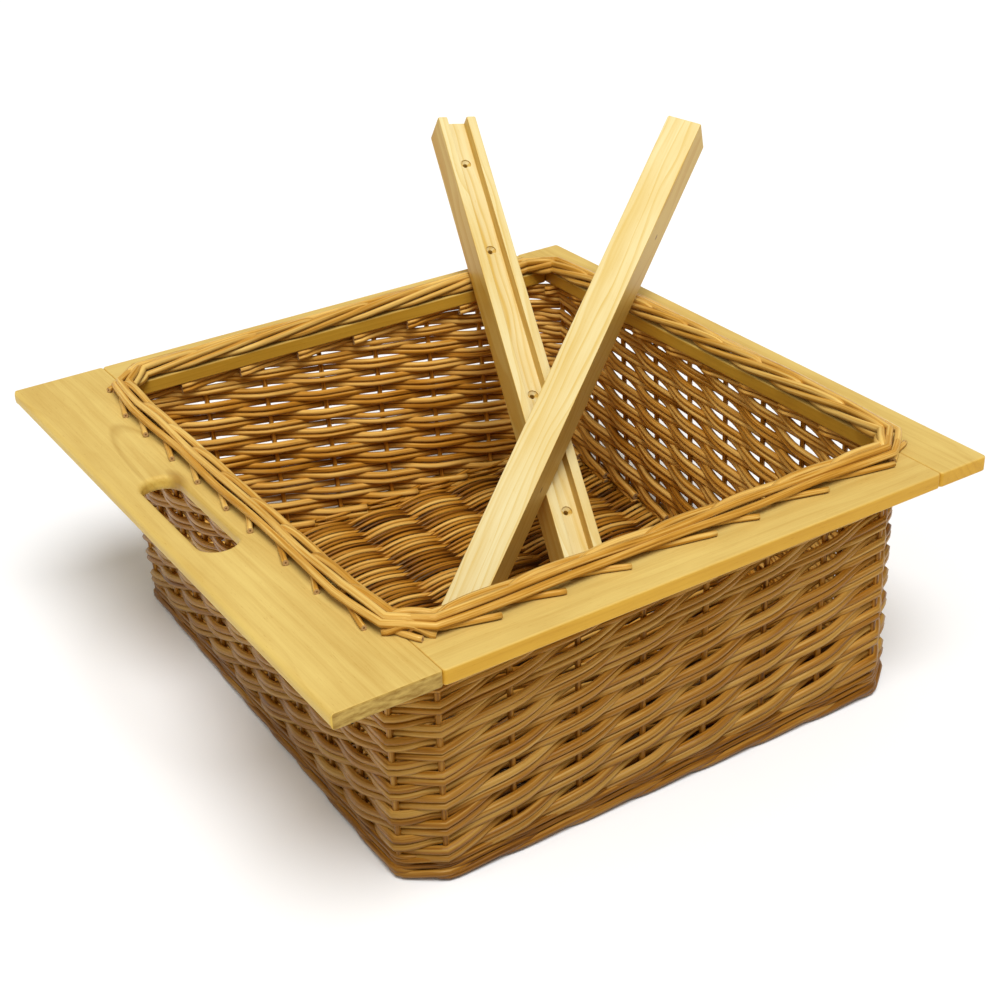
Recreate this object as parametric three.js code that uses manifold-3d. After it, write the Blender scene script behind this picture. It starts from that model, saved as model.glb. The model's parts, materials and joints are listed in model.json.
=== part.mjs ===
// Pull-out kitchen basket: a woven willow basket hung in a pine frame with a handle slot,
// and the pair of grooved pine runners that carry the frame, standing crossed in the basket.
// Millimetres, +Z up, handle towards -Y, origin under the middle of the basket's base.
import * as THREE from "three";
import { mergeVertices } from "three/addons/utils/BufferGeometryUtils.js";
import Module from "manifold-3d";

// Frame
const openingWidth = 431;
const openingDepth = 400;
const frontBoardWidth = 74;
const backBoardWidth = 44;
const sideRailWidth = 47;
const frameThickness = 11.5;
const frontEdgeRadius = 4.5;
const handleLength = 119;
const handleWidth = 28;
const handleFromFront = 31.5;

// Dowels across the frame's butt joints
const dowelDiameter = 6;
const dowelLength = 36;
const dowelFromEdge = 10;
const dowelSpacing = 13;

// Woven walls: stakes stand in a line just outside the opening's edge
const basketHeight = 176.5;
const stakeSetback = 9;
const stakeDiameter = 5.5;
const cornerRunAcross = 19;
const cornerRunAlong = 25;
const frontWallStakes = 8;
const sideWallStakes = 6;
const weaveThickness = 14;
const bandThickness = 4.8;
const firstStroke = 13.5;
const strokeRise = 10.6;
const strokeRiseLoss = 0.185;
const strokeSlant = 1.5;
const strokeDrift = 3;
const strokeMargin = 6;

// The basket is woven by eye: its bottom lies a little askew under the frame
const bottomShiftX = 6.5;
const bottomShiftY = -0.15;
const bottomShortening = 0.0215;
const bottomTwist = 0.024;

// Foot and wale at the bottom of the walls
const footDiameter = 9;
const waleHeight = 18;
const waleThickness = 11;
const waleRows = 3;
const waleRelief = 1.5;

// Base
const baseStickDiameter = 4.2;
const baseStickCount = 7;
const baseStickFromEdge = 47;
const baseWeaveThickness = 7.5;
const baseBandPitch = 6.8;
const baseRelief = 6;
const baseCrestLength = 18;

// Plaited border laid on the frame round the opening
const borderWidth = 21;
const borderHeight = 14;
const borderOverhang = 1;
const borderRods = 3;
const borderRelief = 2.5;

// Runners
const runnerLength = 470;
const runnerFace = 35;
const runnerDepth = 29.5;
const grooveWidth = 18.3;
const grooveDepth = 9.6;
const screwHoleDiameter = 4.5;
const countersinkDiameter = 8.5;
const countersinkDepth = 3;
const screwHolesFromTop = [45, 138, 284, 393];

// Where the runners stand: lower end on the basket floor, heading up the runner, and turn about its length
const leftRunnerFoot = { x: 45.1, y: 58.7, heading: 162.54, turn: 8.06 };
const rightRunnerFoot = { x: 19.2, y: -47, heading: 114.57, turn: -77.83 };

// Search for the slope of a leaning runner, in degrees
const steepestLean = 89;
const leanSteps = [1, 0.1, 0.01, 0.001];

// Clearances
const fitGap = 0.3;
const seatGap = 0.4;
const overcut = 1;

// Round sections
const rodSides = 8;
const edgeSteps = 5;
const slotEndSteps = 12;

// Heights and half sizes that follow from the driving dimensions
const frameBottom = basketHeight;
const frameTop = frameBottom + frameThickness;
const halfOpeningX = openingWidth / 2;
const halfOpeningY = openingDepth / 2;
const halfFrameX = halfOpeningX + sideRailWidth;
const stakeLineX = halfOpeningX + stakeSetback;
const stakeLineY = halfOpeningY + stakeSetback;
const cornerStakeX = stakeLineX - cornerRunAcross;
const cornerStakeY = stakeLineY - cornerRunAlong;
const waleTop = footDiameter + waleHeight;
const baseUnderside = baseStickDiameter + fitGap;
const baseTop = baseUnderside + baseWeaveThickness;
const borderTop = frameTop + borderHeight;
const borderPitch = borderWidth / borderRods;
const borderInnerX = halfOpeningX - borderOverhang;
const borderInnerY = halfOpeningY - borderOverhang;

// Materials
const framePine = new THREE.MeshStandardMaterial({ color: 0xdfbd6f, roughness: 0.5, metalness: 0 });
const runnerPine = new THREE.MeshStandardMaterial({ color: 0xefd795, roughness: 0.55, metalness: 0 });
const willow = new THREE.MeshStandardMaterial({ color: 0xaf783c, roughness: 0.6, metalness: 0 });

const wasm = await Module();
wasm.setup();

// Boolean work
function toSolid(geometry) {
  const plain = geometry.clone();
  plain.deleteAttribute("normal");
  plain.deleteAttribute("uv");
  const merged = mergeVertices(plain, 1e-4);
  const vertProperties = merged.attributes.position.array;
  const triVerts = new Uint32Array(merged.index.array);
  return new wasm.Manifold(new wasm.Mesh({ numProp: 3, vertProperties, triVerts }));
}

function toGeometry(solid) {
  const mesh = solid.getMesh();
  const geometry = new THREE.BufferGeometry();
  geometry.setAttribute("position", new THREE.BufferAttribute(mesh.vertProperties, 3));
  geometry.setIndex(new THREE.BufferAttribute(mesh.triVerts, 1));
  geometry.computeVertexNormals();
  return geometry;
}

function cut(geometry, tools) {
  const left = tools.reduce((solid, tool) => solid.subtract(toSolid(tool)), toSolid(geometry));
  return toGeometry(left);
}

function join(geometry, pieces) {
  const whole = pieces.reduce((solid, piece) => solid.add(toSolid(piece)), toSolid(geometry));
  return toGeometry(whole);
}

// Bars with a constant section, given as points (across, up)
function extruded(points, length) {
  const shape = new THREE.Shape(points.map(([across, up]) => new THREE.Vector2(across, up)));
  return new THREE.ExtrudeGeometry(shape, { depth: length, bevelEnabled: false });
}

const unitX = new THREE.Vector3(1, 0, 0);
const unitY = new THREE.Vector3(0, 1, 0);
const unitZ = new THREE.Vector3(0, 0, 1);

function barAlongX(points, length) {
  const turn = new THREE.Matrix4().makeBasis(unitY, unitZ, unitX);
  return extruded(points, length).applyMatrix4(turn).translate(-length / 2, 0, 0);
}

function rectangle(low, high, bottom, top) {
  return [[low, bottom], [high, bottom], [high, top], [low, top]];
}

function upright(diameter, bottom, top, x, y) {
  const height = top - bottom;
  const cylinder = new THREE.CylinderGeometry(diameter / 2, diameter / 2, height, rodSides);
  return cylinder.rotateX(Math.PI / 2).rotateZ(Math.PI / rodSides).translate(x, y, bottom + height / 2);
}

function lyingAlongY(diameter, length, x, y, z) {
  const cylinder = new THREE.CylinderGeometry(diameter / 2, diameter / 2, length, rodSides);
  return cylinder.rotateY(Math.PI / rodSides).translate(x, y, z);
}

// A rod that lies on the floor: round, with flats below, above and at both sides
function rodSection(diameter) {
  const radius = diameter / 2 / Math.cos(Math.PI / rodSides);
  const points = [];
  for (let i = 0; i < rodSides; i++) {
    const angle = ((i + 0.5) / rodSides) * 2 * Math.PI;
    points.push([radius * Math.cos(angle), diameter / 2 + radius * Math.sin(angle)]);
  }
  return points;
}

// A wale: one ridge on each side for every row of rods
function ridgedSection(thickness, relief, bottom, top, rows) {
  const pitch = (top - bottom) / rows;
  const outside = [];
  for (let row = 0; row < rows; row++) {
    outside.push([thickness / 2 - relief, bottom + row * pitch]);
    outside.push([thickness / 2, bottom + (row + 0.5) * pitch]);
  }
  outside.push([thickness / 2 - relief, top]);
  const inside = outside.map(([across, up]) => [-across, up]).reverse();
  return outside.concat(inside);
}

// Heights where the strokes of a woven wall pass a stake, outside and inside by turns
function strokeRows(bottom) {
  const rows = [];
  let height = firstStroke;
  for (let stroke = 0; height < frameBottom - strokeMargin; stroke++) {
    if (height > bottom + strokeMargin) rows.push({ height, outside: stroke % 2 === 1 });
    height += Math.max(strokeRise - strokeRiseLoss * stroke, strokeRise / 2);
  }
  return rows;
}

// A closed sheet over a grid of columns, which hold the height and both faces of each row
function gridSheet(columns) {
  const rowCount = columns[0].rows.length;
  const points = columns.flatMap(({ x, rows }) =>
    rows.flatMap(({ height, outer, inner }) => [x, outer, height, x, inner, height]),
  );
  const triangles = [];
  const quad = (a, b, c, d) => triangles.push(a, b, c, a, c, d);
  const outer = (column, row) => 2 * (column * rowCount + row);
  const inner = (column, row) => outer(column, row) + 1;
  const lastColumn = columns.length - 1;
  const lastRow = rowCount - 1;
  for (let c = 0; c < lastColumn; c++) {
    for (let r = 0; r < lastRow; r++) {
      quad(outer(c, r), outer(c, r + 1), outer(c + 1, r + 1), outer(c + 1, r));
      quad(inner(c, r), inner(c + 1, r), inner(c + 1, r + 1), inner(c, r + 1));
    }
    quad(outer(c, 0), outer(c + 1, 0), inner(c + 1, 0), inner(c, 0));
    quad(outer(c, lastRow), inner(c, lastRow), inner(c + 1, lastRow), outer(c + 1, lastRow));
  }
  for (let r = 0; r < lastRow; r++) {
    quad(outer(0, r), inner(0, r), inner(0, r + 1), outer(0, r + 1));
    quad(outer(lastColumn, r), outer(lastColumn, r + 1), inner(lastColumn, r + 1), inner(lastColumn, r));
  }
  const geometry = new THREE.BufferGeometry();
  geometry.setAttribute("position", new THREE.Float32BufferAttribute(points, 3));
  geometry.setIndex(triangles);
  return geometry;
}

// A woven wall: bands that swing out and in past the stakes and cross halfway between them.
// All rows drift upwards along x.
function wovenSheet(stakes, bottom, drift) {
  const strokes = strokeRows(bottom);
  const lastStake = stakes[stakes.length - 1];
  const swing = (weaveThickness - bandThickness) / 2;
  const stakeRoom = stakeDiameter / 2 + fitGap;
  const edge = { outer: stakeRoom, inner: -stakeRoom };
  const column = (x, part) => {
    const least = part === 0 ? stakeRoom : -weaveThickness;
    const lift = (drift * x) / lastStake - strokeSlant * Math.sin(2 * Math.PI * part);
    const rows = strokes.map(({ height, outside }) => {
      const middle = (outside ? swing : -swing) * Math.abs(Math.cos(Math.PI * part));
      return {
        height: height + lift,
        outer: Math.max(middle + bandThickness / 2, least),
        inner: Math.min(middle - bandThickness / 2, -least),
      };
    });
    return { x, rows: [{ height: bottom, ...edge }, ...rows, { height: frameBottom, ...edge }] };
  };
  const columns = stakes.flatMap((x, i) => {
    if (i === 0) return [column(x, 0)];
    const span = x - stakes[i - 1];
    return [-0.75, -0.5, -0.25, 0].map((part) => column(x + part * span, part));
  });
  return gridSheet(columns);
}

const model = new THREE.Group();

function place(name, geometry, material, turn = 0) {
  const mesh = new THREE.Mesh(geometry, material);
  mesh.name = name;
  mesh.rotation.z = turn;
  model.add(mesh);
  return mesh;
}

// Wicker under the frame leans with the crooked basket, most at the floor and not at all at the frame
function placeWicker(name, geometry, turn = 0) {
  const hung = geometry.rotateZ(turn);
  const position = hung.attributes.position;
  for (let i = 0; i < position.count; i++) {
    const x = position.getX(i);
    const y = position.getY(i);
    const share = Math.max(1 - position.getZ(i) / frameBottom, 0);
    position.setX(i, x + share * (bottomShiftX + bottomTwist * y));
    position.setY(i, y + share * (bottomShiftY - bottomShortening * y - bottomTwist * x));
  }
  place(name, hung, willow);
}

// The four sides: a piece is drawn for the back side, then turned to the side where it belongs
const wide = {
  halfLength: cornerStakeX,
  line: stakeLineY,
  stakes: frontWallStakes,
  borderHalf: borderInnerX,
  borderLine: borderInnerY,
};
const deep = {
  halfLength: cornerStakeY,
  line: stakeLineX,
  stakes: sideWallStakes,
  borderHalf: borderInnerY,
  borderLine: borderInnerX,
};
const sides = [
  { name: "back", turn: 0, ...wide },
  { name: "left", turn: Math.PI / 2, ...deep },
  { name: "front", turn: Math.PI, ...wide },
  { name: "right", turn: -Math.PI / 2, ...deep },
];

const corners = [
  { name: "front_left", signX: -1, signY: -1 },
  { name: "front_right", signX: 1, signY: -1 },
  { name: "back_right", signX: 1, signY: 1 },
  { name: "back_left", signX: -1, signY: 1 },
];

function stakeOffsets(side) {
  const pitch = (2 * side.halfLength) / (side.stakes + 1);
  return Array.from({ length: side.stakes }, (_, i) => (i + 1) * pitch - side.halfLength);
}

// Every place where a stake comes up through the frame
function stakePlaces() {
  const places = [];
  for (const side of sides) {
    for (const offset of stakeOffsets(side)) {
      places.push(new THREE.Vector3(offset, side.line, 0).applyAxisAngle(unitZ, side.turn));
    }
  }
  for (const corner of corners) {
    places.push(new THREE.Vector3(corner.signX * cornerStakeX, corner.signY * stakeLineY, 0));
    places.push(new THREE.Vector3(corner.signX * stakeLineX, corner.signY * cornerStakeY, 0));
  }
  return places;
}

const stakeHoles = stakePlaces().map((at) => {
  const bore = stakeDiameter + 2 * fitGap;
  return upright(bore, frameBottom - overcut, frameTop + overcut, at.x, at.y);
});

// Dowels: two across each joint between a board and a side rail
const dowels = [];
for (const corner of corners) {
  for (const row of [0, 1]) {
    const x = corner.signX * (halfFrameX - dowelFromEdge - row * dowelSpacing);
    const y = corner.signY * halfOpeningY;
    dowels.push({ name: `${corner.name}_dowel_${row + 1}`, x, y });
  }
}
const dowelHeight = (frameBottom + frameTop) / 2;
const dowelHoles = dowels.map(({ x, y }) => {
  const bore = dowelDiameter + 2 * fitGap;
  return lyingAlongY(bore, dowelLength + 2 * fitGap, x, y, dowelHeight);
});

// Frame boards
function frontBoardSection() {
  const front = -(halfOpeningY + frontBoardWidth);
  const radius = Math.min(frontEdgeRadius, frameThickness / 2);
  const points = [[-halfOpeningY, frameBottom], [-halfOpeningY, frameTop]];
  for (const [centreZ, start] of [[frameTop - radius, 0.5], [frameBottom + radius, 1]]) {
    for (let i = 0; i <= edgeSteps; i++) {
      const angle = (start + (0.5 * i) / edgeSteps) * Math.PI;
      points.push([front + radius + radius * Math.cos(angle), centreZ + radius * Math.sin(angle)]);
    }
  }
  return points;
}

function handleSlot() {
  const radius = handleWidth / 2;
  const straight = handleLength / 2 - radius;
  const shape = new THREE.Shape();
  shape.absarc(straight, 0, radius, -Math.PI / 2, Math.PI / 2, false);
  shape.absarc(-straight, 0, radius, Math.PI / 2, 1.5 * Math.PI, false);
  const depth = frameThickness + 2 * overcut;
  const slot = new THREE.ExtrudeGeometry(shape, { depth, bevelEnabled: false, curveSegments: slotEndSteps });
  const y = -(halfOpeningY + frontBoardWidth) + handleFromFront;
  return slot.translate(0, y, frameBottom - overcut);
}

const boardLength = 2 * halfFrameX;
const frontBlank = barAlongX(frontBoardSection(), boardLength);
const backEdge = halfOpeningY + backBoardWidth;
const backBlank = barAlongX(rectangle(halfOpeningY, backEdge, frameBottom, frameTop), boardLength);
const railSection = rectangle(-sideRailWidth / 2, sideRailWidth / 2, frameBottom, frameTop);
const railBlank = barAlongX(railSection, openingDepth).rotateZ(Math.PI / 2);
const railCentre = halfOpeningX + sideRailWidth / 2;

place("front_board", cut(frontBlank, [handleSlot(), ...stakeHoles, ...dowelHoles]), framePine);
place("back_board", cut(backBlank, [...stakeHoles, ...dowelHoles]), framePine);
for (const [name, sign] of [["left_rail", -1], ["right_rail", 1]]) {
  const blank = railBlank.clone().translate(sign * railCentre, 0, 0);
  place(name, cut(blank, [...stakeHoles, ...dowelHoles]), framePine);
}
for (const { name, x, y } of dowels) {
  place(name, lyingAlongY(dowelDiameter, dowelLength, x, y, dowelHeight), framePine);
}

// Walls: foot rod, wale and weave, one above the other between the corner stakes
for (const side of sides) {
  const halfClear = side.halfLength - stakeDiameter / 2 - fitGap;
  const foot = barAlongX(rodSection(footDiameter), 2 * side.halfLength);
  placeWicker(`${side.name}_foot_rod`, foot.translate(0, side.line, 0), side.turn);

  const waleSection = ridgedSection(waleThickness, waleRelief, footDiameter, waleTop, waleRows);
  const wale = barAlongX(waleSection, 2 * halfClear);
  placeWicker(`${side.name}_wale`, wale.translate(0, side.line, 0), side.turn);

  const offsets = stakeOffsets(side);
  const sheet = wovenSheet([-halfClear, ...offsets, halfClear], waleTop, -strokeDrift);
  const pegs = offsets.map((offset) =>
    upright(stakeDiameter, frameBottom - overcut, frameTop, offset, 0),
  );
  placeWicker(`${side.name}_weave`, join(sheet, pegs).translate(0, side.line, 0), side.turn);
}

// Corners: two stakes standing on the foot rods, with a narrow strip of weave between them
function wallRoom(side) {
  const halfThick = weaveThickness / 2 + fitGap;
  const section = rectangle(side.line - halfThick, side.line + halfThick, 0, frameBottom);
  return barAlongX(section, 2 * side.halfLength - stakeDiameter).rotateZ(side.turn);
}

// Air between the strips and the frame's underside
const underFrame = extruded(rectangle(-halfFrameX, halfFrameX, -halfFrameX, halfFrameX), fitGap + overcut);
underFrame.translate(0, 0, frameBottom - fitGap);

// A corner stake bends where it enters the frame
function cornerStake({ x, y }) {
  const height = frameTop - footDiameter;
  const middle = footDiameter + height / 2;
  const stake = new THREE.CylinderGeometry(stakeDiameter / 2, stakeDiameter / 2, height, rodSides, 2);
  stake.rotateX(Math.PI / 2).rotateZ(Math.PI / rodSides).translate(x, y, middle);
  const position = stake.attributes.position;
  for (let i = 0; i < position.count; i++) {
    if (Math.abs(position.getZ(i) - middle) < fitGap) position.setZ(i, frameBottom);
  }
  return stake;
}

for (const corner of corners) {
  const first = new THREE.Vector2(corner.signX * cornerStakeX, corner.signY * stakeLineY);
  const second = new THREE.Vector2(corner.signX * stakeLineX, corner.signY * cornerStakeY);
  placeWicker(`${corner.name}_stake_1`, cornerStake(first));
  placeWicker(`${corner.name}_stake_2`, cornerStake(second));
  const clockwise = corner.signX * corner.signY > 0 ? [first, second] : [second, first];
  const run = clockwise[1].clone().sub(clockwise[0]);
  const halfStrip = run.length() / 2 - stakeDiameter / 2 - fitGap;
  const strip = wovenSheet([-halfStrip, halfStrip], footDiameter + fitGap, strokeDrift);
  strip.rotateZ(run.angle()).translate((first.x + second.x) / 2, (first.y + second.y) / 2, 0);
  placeWicker(`${corner.name}_weave`, cut(strip, [...sides.map(wallRoom), underFrame]));
}

// Base: sticks from side to side, and the woven floor on them
const baseHalfX = stakeLineX - waleThickness / 2 - fitGap;
const baseHalfY = stakeLineY - waleThickness / 2 - fitGap;
const stickHalfLength = stakeLineX - footDiameter / 2 - fitGap;
const stickBlank = barAlongX(rodSection(baseStickDiameter), 2 * stickHalfLength);
const stickReach = baseHalfY - baseStickFromEdge;
const stickRows = Array.from(
  { length: baseStickCount },
  (_, i) => ((2 * i) / (baseStickCount - 1) - 1) * stickReach,
);

function baseOutline() {
  const shortX = baseHalfX - cornerRunAcross - weaveThickness / 2;
  const shortY = baseHalfY - cornerRunAlong - weaveThickness / 2;
  const quarter = [[baseHalfX, shortY], [shortX, baseHalfY]];
  const mirrored = quarter.map(([x, y]) => [-x, y]).reverse();
  const backHalf = quarter.concat(mirrored);
  return backHalf.concat(backHalf.map(([x, y]) => [-x, -y]));
}

// One band of the floor: a hump over every other stick, and a dip between two humps
function baseBand(band) {
  const pitch = stickRows[1] - stickRows[0];
  const tops = [];
  for (let row = baseStickCount; row >= -1; row--) {
    const y = stickRows[0] + row * pitch;
    if ((row + band) % 2 === 0) {
      tops.push([y + baseCrestLength / 2, baseTop], [y - baseCrestLength / 2, baseTop]);
    } else {
      tops.push([y, baseTop - baseRelief]);
    }
  }
  const ends = [[tops[tops.length - 1][0], baseUnderside], [tops[0][0], baseUnderside]];
  return barAlongX([...ends, ...tops], baseBandPitch);
}

function baseFloor() {
  const outline = toSolid(extruded(baseOutline(), baseTop + overcut));
  const bands = 2 * Math.ceil(baseHalfX / baseBandPitch);
  const solids = Array.from({ length: bands }, (_, band) => {
    const x = (band - (bands - 1) / 2) * baseBandPitch;
    return toSolid(baseBand(band).translate(x, 0, 0));
  });
  return toGeometry(wasm.Manifold.union(solids).intersect(outline));
}

placeWicker("base_weave", baseFloor());
stickRows.forEach((y, i) => {
  placeWicker(`base_stick_${i + 1}`, stickBlank.clone().translate(0, y, 0));
});

// Border: a flat plait on each side, mitred at the corners
function borderSection() {
  const points = [[0, frameTop]];
  for (let rod = 0; rod < borderRods; rod++) {
    points.push([rod * borderPitch, borderTop - borderRelief]);
    points.push([(rod + 0.5) * borderPitch, borderTop]);
  }
  points.push([borderWidth, borderTop - borderRelief], [borderWidth, frameTop]);
  return points.reverse();
}

function borderSide(innerLine, innerHalf) {
  const bar = barAlongX(borderSection(), 2 * innerHalf);
  const position = bar.attributes.position;
  for (let i = 0; i < position.count; i++) {
    const sign = Math.sign(position.getX(i));
    position.setX(i, sign * (innerHalf + position.getY(i) - fitGap));
  }
  return bar.translate(0, innerLine, 0);
}

for (const side of sides) {
  place(`${side.name}_border`, borderSide(side.borderLine, side.borderHalf), willow, side.turn);
}

// Runners: drawn along X from the lower end, grooved face up, middle of the section on the axis
function runnerSection() {
  const face = runnerFace / 2;
  const top = runnerDepth / 2;
  const groove = grooveWidth / 2;
  const floor = top - grooveDepth;
  const lips = [[face, -top], [face, top], [groove, top], [groove, floor]];
  return lips.concat(lips.map(([across, up]) => [-across, up]).reverse());
}

function screwHole(fromTop) {
  const floor = runnerDepth / 2 - grooveDepth;
  const through = runnerDepth / 2 + floor + 2 * overcut;
  const hole = new THREE.CylinderGeometry(screwHoleDiameter / 2, screwHoleDiameter / 2, through, rodSides);
  hole.rotateX(Math.PI / 2).translate(0, 0, floor + overcut - through / 2);
  const mouth = countersinkDiameter / 2;
  const wider = mouth + ((mouth - screwHoleDiameter / 2) * overcut) / countersinkDepth;
  const coneHeight = countersinkDepth + overcut;
  const cone = new THREE.CylinderGeometry(wider, screwHoleDiameter / 2, coneHeight, rodSides);
  cone.rotateX(Math.PI / 2).translate(0, 0, floor + overcut - coneHeight / 2);
  return join(hole, [cone]).translate(runnerLength - fromTop, 0, 0);
}

function runnerGeometry() {
  const blank = barAlongX(runnerSection(), runnerLength).translate(runnerLength / 2, 0, 0);
  return cut(blank, screwHolesFromTop.map(screwHole));
}

// A turned box, for finding where a leaning runner comes to rest
function runnerBox(group) {
  group.updateMatrixWorld(true);
  const centre = new THREE.Vector3(runnerLength / 2, 0, 0).applyMatrix4(group.matrixWorld);
  const axes = [unitX, unitY, unitZ].map((axis) => axis.clone().applyQuaternion(group.quaternion));
  return { centre, axes, half: [runnerLength / 2, runnerFace / 2, runnerDepth / 2] };
}

function boxReach(box, axis) {
  return box.axes.reduce((sum, own, i) => sum + Math.abs(own.dot(axis)) * box.half[i], 0);
}

// Widest gap between two turned boxes over the directions that can part them
function boxGap(a, b) {
  const crossed = a.axes.flatMap((p) => b.axes.map((q) => new THREE.Vector3().crossVectors(p, q)));
  const directions = [...a.axes, ...b.axes, ...crossed].filter((axis) => axis.lengthSq() > 1e-6);
  const apart = new THREE.Vector3().subVectors(b.centre, a.centre);
  const gaps = directions.map((axis) => {
    const unit = axis.clone().normalize();
    return Math.abs(apart.dot(unit)) - boxReach(a, unit) - boxReach(b, unit);
  });
  return Math.max(...gaps);
}

// Stands a runner on the basket floor at a given slope
function standRunner(group, foot, slope) {
  const { degToRad } = THREE.MathUtils;
  group.rotation.set(degToRad(foot.turn), -degToRad(slope), degToRad(foot.heading), "ZYX");
  const across = unitY.clone().applyQuaternion(group.quaternion);
  const outOfFace = unitZ.clone().applyQuaternion(group.quaternion);
  const drop = (Math.abs(across.z) * runnerFace + Math.abs(outOfFace.z) * runnerDepth) / 2;
  group.position.set(foot.x, foot.y, baseTop + seatGap + drop);
}

// Lowers a runner from upright, in ever finer steps, until it comes to rest on what it leans on
function leanRunner(name, foot, rest) {
  const group = new THREE.Group();
  let slope = steepestLean;
  for (const step of leanSteps) {
    do {
      slope -= step;
      standRunner(group, foot, slope);
    } while (slope > 0 && boxGap(runnerBox(group), rest) > seatGap);
    slope += step;
  }
  standRunner(group, foot, slope);
  const mesh = new THREE.Mesh(runnerGeometry(), runnerPine);
  mesh.name = name;
  group.add(mesh);
  model.add(group);
  return group;
}

// The left border from the crown of its innermost rod outwards
const crownHalfWide = (borderWidth - borderPitch / 2) / 2;
const crownX = -borderInnerX - borderWidth + crownHalfWide;
const leftBorderBox = {
  centre: new THREE.Vector3(crownX, 0, (frameTop + borderTop) / 2),
  axes: [unitX, unitY, unitZ],
  half: [crownHalfWide, borderInnerY + borderWidth, borderHeight / 2],
};
const leftRunner = leanRunner("left_runner", leftRunnerFoot, leftBorderBox);
leanRunner("right_runner", rightRunnerFoot, runnerBox(leftRunner));

export default model;
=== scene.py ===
import json
import math
import random

import bpy
from mathutils import Matrix, Vector


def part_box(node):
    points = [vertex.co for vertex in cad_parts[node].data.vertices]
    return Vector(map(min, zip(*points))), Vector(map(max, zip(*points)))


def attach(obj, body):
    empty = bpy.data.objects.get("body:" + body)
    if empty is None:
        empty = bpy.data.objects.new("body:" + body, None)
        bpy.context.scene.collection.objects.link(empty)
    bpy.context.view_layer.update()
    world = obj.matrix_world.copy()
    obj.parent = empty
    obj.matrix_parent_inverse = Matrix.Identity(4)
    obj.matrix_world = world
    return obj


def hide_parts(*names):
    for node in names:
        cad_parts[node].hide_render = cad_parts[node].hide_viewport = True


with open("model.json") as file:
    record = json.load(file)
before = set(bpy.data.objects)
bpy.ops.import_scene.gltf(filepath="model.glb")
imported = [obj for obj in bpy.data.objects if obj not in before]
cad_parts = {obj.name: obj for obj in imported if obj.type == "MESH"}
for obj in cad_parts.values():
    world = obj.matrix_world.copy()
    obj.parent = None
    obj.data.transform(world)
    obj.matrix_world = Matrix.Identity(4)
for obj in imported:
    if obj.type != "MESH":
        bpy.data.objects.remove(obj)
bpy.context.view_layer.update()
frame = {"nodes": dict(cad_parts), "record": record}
draw = random.Random(7)

# From the frame's boards
FRAME_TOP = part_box("front_board")[1][2]
FRAME_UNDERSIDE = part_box("front_board")[0][2]
FRONT_BOARD_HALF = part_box("front_board")[1][0]

# Wicker, in metres. The butts', tails' and sway's lengths along a wall are in stake pitches, butts go inward
# and fall by metres to a pitch, and thicknesses are shares of a rod's radius
STAKE_LINE = (0.2245, 0.209)
CORNER_RUN = (0.019, 0.025)
STAKE_RADIUS = 0.0022
STAKE_MARGIN = 0.002
STAKE_POINTS = 12
STAKE_SWAY = 0.006
WALL_STAKES = {"front": 8, "right": 6, "back": 8, "left": 6}
FIRST_STROKE_HEIGHT = 0.0135
STROKE_RISE = 0.0106
STROKE_RISE_LOSS = 0.000185
LAST_STROKE = 18
STROKE_POINTS = 7
BAND_ROD_SHARE = 0.585
BAND_SQUEEZE = 0.05
STROKE_EASE = 0.35
WEAVER_THICKNESS = (0.92, 1.06)
WEAVER_BUTT = 1.04
WEAVER_TIP = 0.98
WEAVER_WOBBLE = 0.0004
WEAVER_WOBBLE_TURN = 1.3
TOP_GAP = 0.0022
TOP_ROD_GAP = 0.0042
BUTT_LENGTH = 0.36
BUTT_INWARD = 0.004
BUTT_FALL = 0.00636
TAIL_LENGTH = 0.36
TAIL_INSIDE = 0.0075
BEND_REACH = 0.0036
CORNER_DROP = 0.006
CORNER_TIGHTER = 0.3
ROD_SIDES = 7
PITH_SHARE = 0.35
WALL_TONES = (0.5, 1.28)
STAKE_TONES = (0.1, 0.45)
WALE_TONES = (0.1, 0.6)

# The hand-woven base sits a little askew under the frame
BASE_SHIFT = (0.0065, -0.00015)
BASE_SHORTENING = 0.0215
BASE_TWIST = 0.024

WALE_INSET = 0.0015
# Height, rod radius and swing up and down of each row
WALE_ROWS = [(0.0046, 0.0029, 0.0013), (0.0098, 0.0019, 0.0014), (0.0148, 0.0019, 0.0014)]
WALE_POINTS = 7

# Rods of the floor run from front to back over and under sticks that lie across
BASE_MARGIN = (0.008, 0.004)
BASE_MIDDLE = 0.0062
BASE_WAVE = 0.0039
BASE_ROD_RADIUS = 0.0019
BASE_TONES = (-0.85, 0.8)
# Painted shade in the floor rods' troughs and painted highlight on their crests, as a tone added along each
# rod
BASE_CREST_PAINTED_LIGHT = 0.6
BASE_STICKS = 7
BASE_STICK_REACH = 0.1562
BASE_RODS = 144
BASE_ROD_PITCH = 0.0031
BASE_ROD_SIDES = 6
BASE_ROD_SWAY = 0.0005
BASE_ROD_SWAY_TURN = 40
BASE_ROD_THICKNESS = (0.9, 1.06)
BASE_POINTS = 8
BASE_STICK_RADIUS = 0.0021
BASE_STICK_POINTS = 8

BORDER_ROD_RADIUS = 0.0028
BORDER_ROD_THICKNESS = (0.95, 1.04)
BORDER_ROD_BUTT = 1.02
BORDER_ROD_TAPER = 0.26
BORDER_TONES = (0.65, 1.2)
BORDER_CORNER = (0.206, 0.205)
BORDER_CORNER_SIDE = (0.2245, 0.183)
BORDER_POINTS = 10
BORDER_ROOT_DEPTH = 0.008
BORDER_JITTER = 0.0003
BORDER_TIPS_FROM = 3.3
BORDER_TIP_SPREAD = 0.35
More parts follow.
